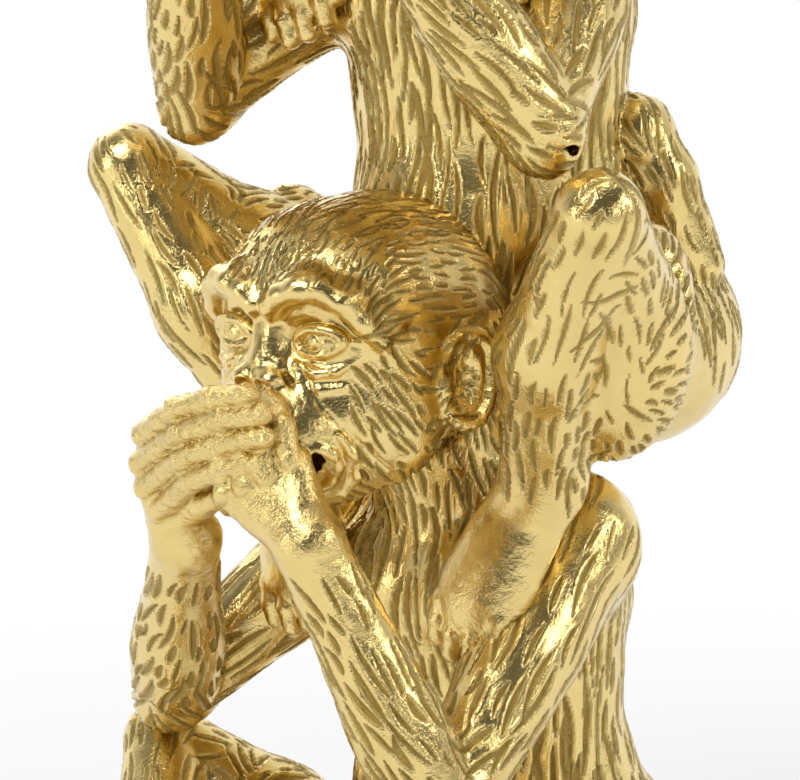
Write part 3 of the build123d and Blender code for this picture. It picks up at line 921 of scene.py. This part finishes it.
def gold():
    """Gold leaf on resin: bright worn ridges, darker granular gouges, and painted shade that
    darkens the gold in hollows.
    """
    material = bpy.data.materials.new("gilded_resin")
    material.use_nodes = True
    nodes, links = material.node_tree.nodes, material.node_tree.links
    nodes.clear()
    out = nodes.new("ShaderNodeOutputMaterial")
    shader = nodes.new("ShaderNodeBsdfPrincipled")
    shader.inputs["Metallic"].default_value = 1.0
    shader.inputs["Coat Weight"].default_value = 0.2
    shader.inputs["Coat Roughness"].default_value = 0.12
    links.new(shader.outputs[0], out.inputs[0])
    place = nodes.new("ShaderNodeTexCoord")
    groove = nodes.new("ShaderNodeAttribute")
    groove.attribute_name = "groove"
    skin = nodes.new("ShaderNodeAttribute")
    skin.attribute_name = "skin"

    def noise(scale, detail, rough=0.55):
        node = nodes.new("ShaderNodeTexNoise")
        node.inputs["Scale"].default_value = scale
        node.inputs["Detail"].default_value = detail
        node.inputs["Roughness"].default_value = rough
        links.new(place.outputs["Object"], node.inputs["Vector"])
        return node

    def math_node(kind, first, second=0.5, clamp=False):
        node = nodes.new("ShaderNodeMath")
        node.operation = kind
        node.use_clamp = clamp
        for socket, value in zip(node.inputs, (first, second)):
            if isinstance(value, (int, float)):
                socket.default_value = value
            else:
                links.new(value, socket)
        return node.outputs[0]

    patches = noise(patch_scale, 3.0)
    grain = noise(grain_scale, 2.0, 0.7)
    flecks = noise(fleck_scale, 1.0, 0.6)
    in_groove = math_node("MULTIPLY", groove.outputs["Fac"], groove_gain, True)
    colour = nodes.new("ShaderNodeValToRGB")
    colour.color_ramp.elements[0].position = 0.0
    colour.color_ramp.elements[0].color = gold_ridge + (1,)
    colour.color_ramp.elements[1].position = 1.0
    colour.color_ramp.elements[1].color = gold_gouge_and_shade + (1,)
    # Painted shade: the gold is darkened in hollows and where parts meet, by how little open air
    # each point sees
    hollow_occlusion = nodes.new("ShaderNodeAmbientOcclusion")
    hollow_occlusion.samples = 6
    hollow_occlusion.inputs["Distance"].default_value = hollow_reach
    # The gold darkens with gouge depth, with random patches, and with the painted shade of hollows
    shade = math_node("ADD", math_node("MULTIPLY", in_groove, groove_shade), math_node(
        "MULTIPLY", math_node("SUBTRACT", patches.outputs["Fac"], 0.5), patch_shade))
    shade = math_node("ADD", shade, math_node("MULTIPLY", math_node(
        "SUBTRACT", open_air, hollow_occlusion.outputs["AO"], True), hollow_shade), True)
    links.new(shade, colour.inputs["Fac"])
    links.new(colour.outputs["Color"], shader.inputs["Base Color"])
    rough = math_node("ADD", gold_roughness, math_node(
        "MULTIPLY", in_groove, groove_roughness))
    rough = math_node("ADD", rough, math_node("MULTIPLY", math_node(
        "SUBTRACT", patches.outputs["Fac"], 0.5), patch_roughness))
    links.new(rough, shader.inputs["Roughness"])
    creases = noise(crease_scale, 4.0, 0.65)
    amount = math_node("ADD", ridge_grain, math_node("MULTIPLY", in_groove, groove_grain))
    height = math_node("MULTIPLY", math_node("ADD", grain.outputs["Fac"], math_node(
        "MULTIPLY", flecks.outputs["Fac"], fleck_share)), amount)
    height = math_node("ADD", height, math_node("MULTIPLY", creases.outputs["Fac"], math_node(
        "ADD", least_crease, math_node("MULTIPLY", skin.outputs["Fac"], skin_crease))))
    bump = nodes.new("ShaderNodeBump")
    bump.inputs["Strength"].default_value = 0.8
    bump.inputs["Distance"].default_value = 0.00025
    links.new(height, bump.inputs["Height"])
    links.new(bump.outputs["Normal"], shader.inputs["Normal"])
    return material


def plain(name, colour, metallic, roughness, scale, bump_distance):
    material = bpy.data.materials.new(name)
    material.use_nodes = True
    nodes, links = material.node_tree.nodes, material.node_tree.links
    shader = nodes["Principled BSDF"]
    shader.inputs["Metallic"].default_value = metallic
    shader.inputs["Roughness"].default_value = roughness
    place = nodes.new("ShaderNodeTexCoord")
    noise = nodes.new("ShaderNodeTexNoise")
    noise.inputs["Scale"].default_value = scale
    noise.inputs["Detail"].default_value = 4.0
    links.new(place.outputs["Object"], noise.inputs["Vector"])
    tint = nodes.new("ShaderNodeValToRGB")
    tint.color_ramp.elements[0].color = tuple(part * 0.7 for part in colour) + (1,)
    tint.color_ramp.elements[1].color = tuple(min(part * 1.3, 1) for part in colour) + (1,)
    links.new(noise.outputs["Fac"], tint.inputs["Fac"])
    links.new(tint.outputs["Color"], shader.inputs["Base Color"])
    bump = nodes.new("ShaderNodeBump")
    bump.inputs["Distance"].default_value = bump_distance
    links.new(noise.outputs["Fac"], bump.inputs["Height"])
    links.new(bump.outputs["Normal"], shader.inputs["Normal"])
    return material


def boundary_caps(faces, count):
    """The rims where a piece was cut from its neighbours, each as a ring of points."""
    edges = np.concatenate([faces[:, [i, (i + 1) % 4]] for i in range(4)]).astype(np.int64)
    forward = edges[:, 0] * count + edges[:, 1]
    backward = edges[:, 1] * count + edges[:, 0]
    edges = edges[~np.isin(forward, backward)].tolist()
    following = {}
    for a, b in edges:
        following.setdefault(a, []).append(b)
    fans = []
    while following:
        start = next(iter(following))
        loop = [start]
        while True:
            options = following[loop[-1]]
            step = options.pop()
            if not options:
                del following[loop[-1]]
            if step == start:
                break
            loop.append(step)
            if step not in following:
                break
        fans.append(loop)
    return fans


def make_pieces(seat, points, quads, labels, normals, looks, names, material):
    face_labels = np.sort(labels[quads], axis=1)[:, 1]
    for index, name in names:
        own = quads[face_labels == index]
        used, flat = np.unique(own, return_inverse=True)
        faces = flat.reshape(own.shape)
        places = points[used] + (0, 0, seat)
        fans = boundary_caps(faces, len(used))
        triangles = []
        centres = []
        for loop in fans:
            centres.append(places[loop].mean(axis=0))
            hub = len(used) + len(centres) - 1
            for a, b in zip(loop, loop[1:] + loop[:1]):
                triangles.append((b, a, hub))
        if centres:
            places = np.vstack([places, centres])
        mesh = bpy.data.meshes.new(name + "_gilded")
        mesh.vertices.add(len(places))
        mesh.vertices.foreach_set("co", (places * mm).astype(np.float32).ravel())
        loops = np.concatenate([faces.ravel(), np.array(triangles, dtype=int).ravel()])
        starts = np.concatenate([np.arange(len(faces)) * 4,
                                 len(faces) * 4 + np.arange(len(triangles)) * 3])
        mesh.loops.add(len(loops))
        mesh.loops.foreach_set("vertex_index", loops.astype(np.int32))
        mesh.polygons.add(len(starts))
        mesh.polygons.foreach_set("loop_start", starts.astype(np.int32))
        mesh.update(calc_edges=True)
        mesh.validate()
        mesh.polygons.foreach_set("use_smooth", np.ones(len(mesh.polygons), dtype=bool))
        extra = len(centres)
        for attribute, values in looks.items():
            layer = mesh.attributes.new(attribute, "FLOAT", "POINT")
            layer.data.foreach_set("value", np.concatenate(
                [values[used], np.zeros(extra)]).astype(np.float32))
        vectors = np.vstack([normals[used], np.tile((0.0, 0.0, 1.0), (extra, 1))])
        mesh.normals_split_custom_set_from_vertices([tuple(vector) for vector in vectors])
        piece = bpy.data.objects.new(name + "_gilded", mesh)
        bpy.context.scene.collection.objects.link(piece)
        mesh.materials.append(material)
        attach(piece, "root")
        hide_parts(name)


def uneven(points, size):
    """Smooth random heights from -1 to 1, about one hump to each size in mm."""
    lattice = np.random.default_rng(seed).uniform(-1, 1, (lattice_side,) * 3)
    scaled = points / size
    cell = np.floor(scaled).astype(int)
    share = scaled - cell
    share = share * share * (3 - 2 * share)
    total = np.zeros(len(points))
    for i in (0, 1):
        for j in (0, 1):
            for k in (0, 1):
                weight = ((share[:, 0] if i else 1 - share[:, 0])
                          * (share[:, 1] if j else 1 - share[:, 1])
                          * (share[:, 2] if k else 1 - share[:, 2]))
                corner = (cell + (i, j, k)) % lattice_side
                total += weight * lattice[corner[:, 0], corner[:, 1], corner[:, 2]]
    return total


def carve_skin(number, sections, wanted, low, high, voxel, overlap, material):
    """Sculpts the sections in one skin on a block of space, and keeps the wanted ones."""
    grid = Grid(low, high, voxel)
    whole, parts = merge(grid, sections)
    if number == 0:
        whole = np.maximum(whole, pad_thickness - grid.axes[2][None, None, :])
    points, quads = net(whole, grid)
    used, places = np.unique(quads, return_inverse=True)
    points, quads = points[used], places.reshape(quads.shape)
    points = relax(points, quads, relax_share)
    normals = point_normals(points, quads)
    nearness = np.array([sampled(grid, part, points) for part in parts])
    nearness[wanted] -= overlap
    labels = np.argmin(nearness, axis=0)
    random = np.random.default_rng(seed + number)
    depth, rim, skin = np.zeros((3, len(points)))
    for index in wanted:
        section = sections[index]
        own = np.flatnonzero(labels == index)
        way, sizes, share, crumple = fur_at(section, points[own], normals[own])
        allowed = share > least_fur_share
        skin[own] = crumple
        if number == 0:
            allowed &= points[own, 2] > pad_thickness + ground_clearance
        chosen = scatter(points[own], normals[own], way, sizes, allowed, random, voxel ** 2)
        depth[own], rim[own] = engrave(points[own], normals[own], chosen, random)
    rim = np.where(depth > rim_ends_at, 0, rim)
    wrinkled = uneven(points, wrinkle_size) * wrinkle_height * skin
    wavy = uneven(points, wave_size) * wave_height + uneven(points, ripple_size) * ripple_height
    others = np.min(np.delete(nearness, wanted, axis=0), axis=0)
    tucked = np.clip((np.min(nearness[wanted], axis=0) + overlap - others),
                     0, overlap) * seam_tuck_share
    points = points + normals * (rim - depth + wrinkled + wavy - tucked)[:, None]
    if number == 0:
        points[:, 2] = np.maximum(points[:, 2], pad_thickness)
    looks = {"groove": np.clip(depth / full_groove, 0, 1), "skin": skin}
    make_pieces(number * seat_pitch, points, quads, labels, point_normals(points, quads), looks,
                [(index, sections[index].name) for index in wanted], material)


def carve_monkey(level, number, material):
    name = level["name"]
    legs = leg_places[level["legs"]]
    sections = [
        trunk(name + "_trunk", number == 0),
        head(name + "_head", level["left"] == "mouth_under"),
        leg(name + "_left_leg", legs, 1),
        leg(name + "_right_leg", legs, -1),
        arm(name + "_left_arm", arm_places[level["left"]], 1),
        arm(name + "_right_arm", arm_places[level["right"]], -1),
        tail(name + "_tail", level["tail"]),
    ]
    bounds = [section_bounds(section) for section in sections]
    low = np.min([b[0] for b in bounds], axis=0)
    high = np.max([b[1] for b in bounds], axis=0)
    draft = 0
    finer = [[1]] + ([[4], [5]] if "arm_voxel" in level else [])
    coarse = [index for index in range(len(sections)) if [index] not in finer]
    carve_skin(number, sections, coarse, low, high, max(draft, level["voxel"]), 0, material)
    inset = field_margin - finer_margin
    for (index,), voxel in zip(finer, (level["head_voxel"],) + (level.get("arm_voxel"),) * 2):
        carve_skin(number, sections, [index], bounds[index][0] + inset,
                   bounds[index][1] - inset, max(draft, voxel), seam_overlap, material)


gilded = gold()
for number, level in enumerate(levels):
    carve_monkey(level, number, gilded)

steel = plain("drawn_steel", (0.45, 0.45, 0.46), 1.0, 0.35, 900.0, 0.00003)
felt = plain("dark_felt", (0.03, 0.03, 0.032), 0.0, 0.95, 2500.0, 0.0002)
for node, material in (("stack_dowel_1", steel), ("stack_dowel_2", steel),
                       ("neck_dowels", steel), ("shoulder_rods", steel),
                       ("seat_pad", felt), ("foot_pads", felt)):
    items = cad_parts[node]
    for item in items if isinstance(items, list) else [items]:
        item.data.materials.clear()
        item.data.materials.append(material)

# Camera: where the photograph was taken from
view_azimuth = math.radians(42)
view_elevation = math.radians(9)
view_distance = 1.10
photo_width_px = 800
mm_per_px = 0.23
axis_px = 487              # where the stack's axis crosses the picture
spine_setback = -26        # the monkeys' middles lie this far before the seat axis, in mm
aim_height = 148
sensor_width = 36.0

to_camera = Vector((math.sin(view_azimuth) * math.cos(view_elevation),
                    -math.cos(view_azimuth) * math.cos(view_elevation),
                    math.sin(view_elevation)))
rightwards = Vector((math.cos(view_azimuth), math.sin(view_azimuth), 0))
shift = (photo_width_px / 2 - axis_px) * mm_per_px
aim = (Vector((0, spine_setback, aim_height)) + rightwards * shift) * mm
camera_data = bpy.data.cameras.new("photo_view")
camera = bpy.data.objects.new("photo_view", camera_data)
bpy.context.scene.collection.objects.link(camera)
camera.location = aim + to_camera * view_distance
camera.rotation_euler = (-to_camera).to_track_quat("-Z", "Y").to_euler()
camera_data.sensor_width = sensor_width
camera_data.lens = sensor_width * view_distance / (photo_width_px * mm_per_px * mm)
camera_data.clip_end = 50
bpy.context.scene.camera = camera


# Lamps: azimuth and elevation in degrees, distance and width in metres, and watts
lamps = [
    ("key", 5, 42, 1.3, 0.45, 6.6),
    ("right", 112, 22, 1.3, 0.45, 3.6),
    ("low_left", -20, 4, 1.3, 0.25, 1.5),
    ("near_right", 78, 12, 1.3, 0.22, 0.9),
    ("back_left", -115, 30, 1.5, 0.8, 5.5),
    ("above", 60, 84, 1.3, 0.7, 4.0),
]
lamp_target = (0, 0, 0.23)
room_level = 0.09
room_middle = 0.42         # where the dim room starts to brighten, from 0 in front to 1 behind
backdrop_from = 0.80
backdrop_level = 1.0
floor_half_width = 4.0
floor_white = 0.86
fade_start, fade_end = 0.10, 0.50   # metres from the stack over which the floor turns white
least_fade = 0.45


def softbox(name, azimuth, elevation, distance, size, power):
    """A square lamp aimed at the figurine, placed as a camera view would be."""
    data = bpy.data.lights.new(name, "AREA")
    data.energy = power
    data.size = size
    lamp = bpy.data.objects.new(name, data)
    bpy.context.scene.collection.objects.link(lamp)
    a, e = math.radians(azimuth), math.radians(elevation)
    way = Vector((math.sin(a) * math.cos(e), -math.cos(a) * math.cos(e), math.sin(e)))
    lamp.location = Vector(lamp_target) + way * distance
    lamp.rotation_euler = (-way).to_track_quat("-Z", "Y").to_euler()


for lamp in lamps:
    softbox(*lamp)


def surroundings():
    """A pale studio: white to the camera, and for the metal a white backdrop behind the
    stack and a dim room on the side that the photograph was taken from."""
    world = bpy.data.worlds.new("studio")
    bpy.context.scene.world = world
    world.use_nodes = True
    nodes, links = world.node_tree.nodes, world.node_tree.links
    nodes.clear()
    out = nodes.new("ShaderNodeOutputWorld")
    background = nodes.new("ShaderNodeBackground")
    links.new(background.outputs[0], out.inputs[0])
    path = nodes.new("ShaderNodeLightPath")
    seen = nodes.new("ShaderNodeMath")
    seen.operation = "MAXIMUM"
    links.new(path.outputs["Is Camera Ray"], seen.inputs[0])
    links.new(path.outputs["Is Transmission Ray"], seen.inputs[1])
    place = nodes.new("ShaderNodeTexCoord")
    side = nodes.new("ShaderNodeVectorMath")
    side.operation = "DOT_PRODUCT"
    side.inputs[1].default_value = tuple(-part for part in to_camera)
    links.new(place.outputs["Generated"], side.inputs[0])
    ramp = nodes.new("ShaderNodeValToRGB")
    stops = ramp.color_ramp.elements
    stops[0].position, stops[0].color = 0.0, (room_level,) * 3 + (1,)
    stops[1].position, stops[1].color = backdrop_from, (backdrop_level,) * 3 + (1,)
    middle = stops.new(room_middle)
    middle.color = (room_level * 1.5,) * 3 + (1,)
    half = nodes.new("ShaderNodeMath")
    half.operation = "MULTIPLY_ADD"
    half.inputs[1].default_value = 0.5
    half.inputs[2].default_value = 0.5
    links.new(side.outputs["Value"], half.inputs[0])
    links.new(half.outputs[0], ramp.inputs["Fac"])
    mix = nodes.new("ShaderNodeMix")
    mix.data_type = "RGBA"
    # Sockets 6 and 7 are the two colours
    mix.inputs[7].default_value = (1, 1, 1, 1)
    links.new(seen.outputs[0], mix.inputs[0])
    links.new(ramp.outputs["Color"], mix.inputs[6])
    links.new(mix.outputs[2], background.inputs["Color"])


surroundings()


def floor():
    """A pale floor that keeps the figurine's shadow and fades into the white backdrop."""
    mesh = bpy.data.meshes.new("floor")
    half = floor_half_width
    mesh.from_pydata([(-half, -half, 0), (half, -half, 0), (half, half, 0), (-half, half, 0)],
                     [], [(0, 1, 2, 3)])
    plate = bpy.data.objects.new("floor", mesh)
    bpy.context.scene.collection.objects.link(plate)
    material = bpy.data.materials.new("pale_floor")
    material.use_nodes = True
    nodes, links = material.node_tree.nodes, material.node_tree.links
    nodes.clear()
    out = nodes.new("ShaderNodeOutputMaterial")
    card = nodes.new("ShaderNodeBsdfDiffuse")
    card.inputs["Color"].default_value = (floor_white,) * 3 + (1,)
    white = nodes.new("ShaderNodeEmission")
    blend = nodes.new("ShaderNodeMixShader")
    path = nodes.new("ShaderNodeLightPath")
    place = nodes.new("ShaderNodeTexCoord")
    away = nodes.new("ShaderNodeVectorMath")
    away.operation = "LENGTH"
    links.new(place.outputs["Object"], away.inputs[0])
    fade = nodes.new("ShaderNodeMapRange")
    fade.interpolation_type = "SMOOTHSTEP"
    fade.inputs["From Min"].default_value = fade_start
    fade.inputs["From Max"].default_value = fade_end
    fade.inputs["To Min"].default_value = least_fade
    links.new(away.outputs["Value"], fade.inputs["Value"])
    seen = nodes.new("ShaderNodeMath")
    seen.operation = "MAXIMUM"
    links.new(path.outputs["Is Camera Ray"], seen.inputs[0])
    links.new(path.outputs["Is Glossy Ray"], seen.inputs[1])
    seen_through = nodes.new("ShaderNodeMath")
    seen_through.operation = "MAXIMUM"
    links.new(seen.outputs[0], seen_through.inputs[0])
    links.new(path.outputs["Is Transmission Ray"], seen_through.inputs[1])
    share = nodes.new("ShaderNodeMath")
    share.operation = "MULTIPLY"
    links.new(seen_through.outputs[0], share.inputs[0])
    links.new(fade.outputs["Result"], share.inputs[1])
    links.new(share.outputs[0], blend.inputs["Fac"])
    links.new(card.outputs[0], blend.inputs[1])
    links.new(white.outputs[0], blend.inputs[2])
    links.new(blend.outputs[0], out.inputs[0])
    mesh.materials.append(material)


floor()

bpy.context.scene.view_settings.view_transform = "Standard"
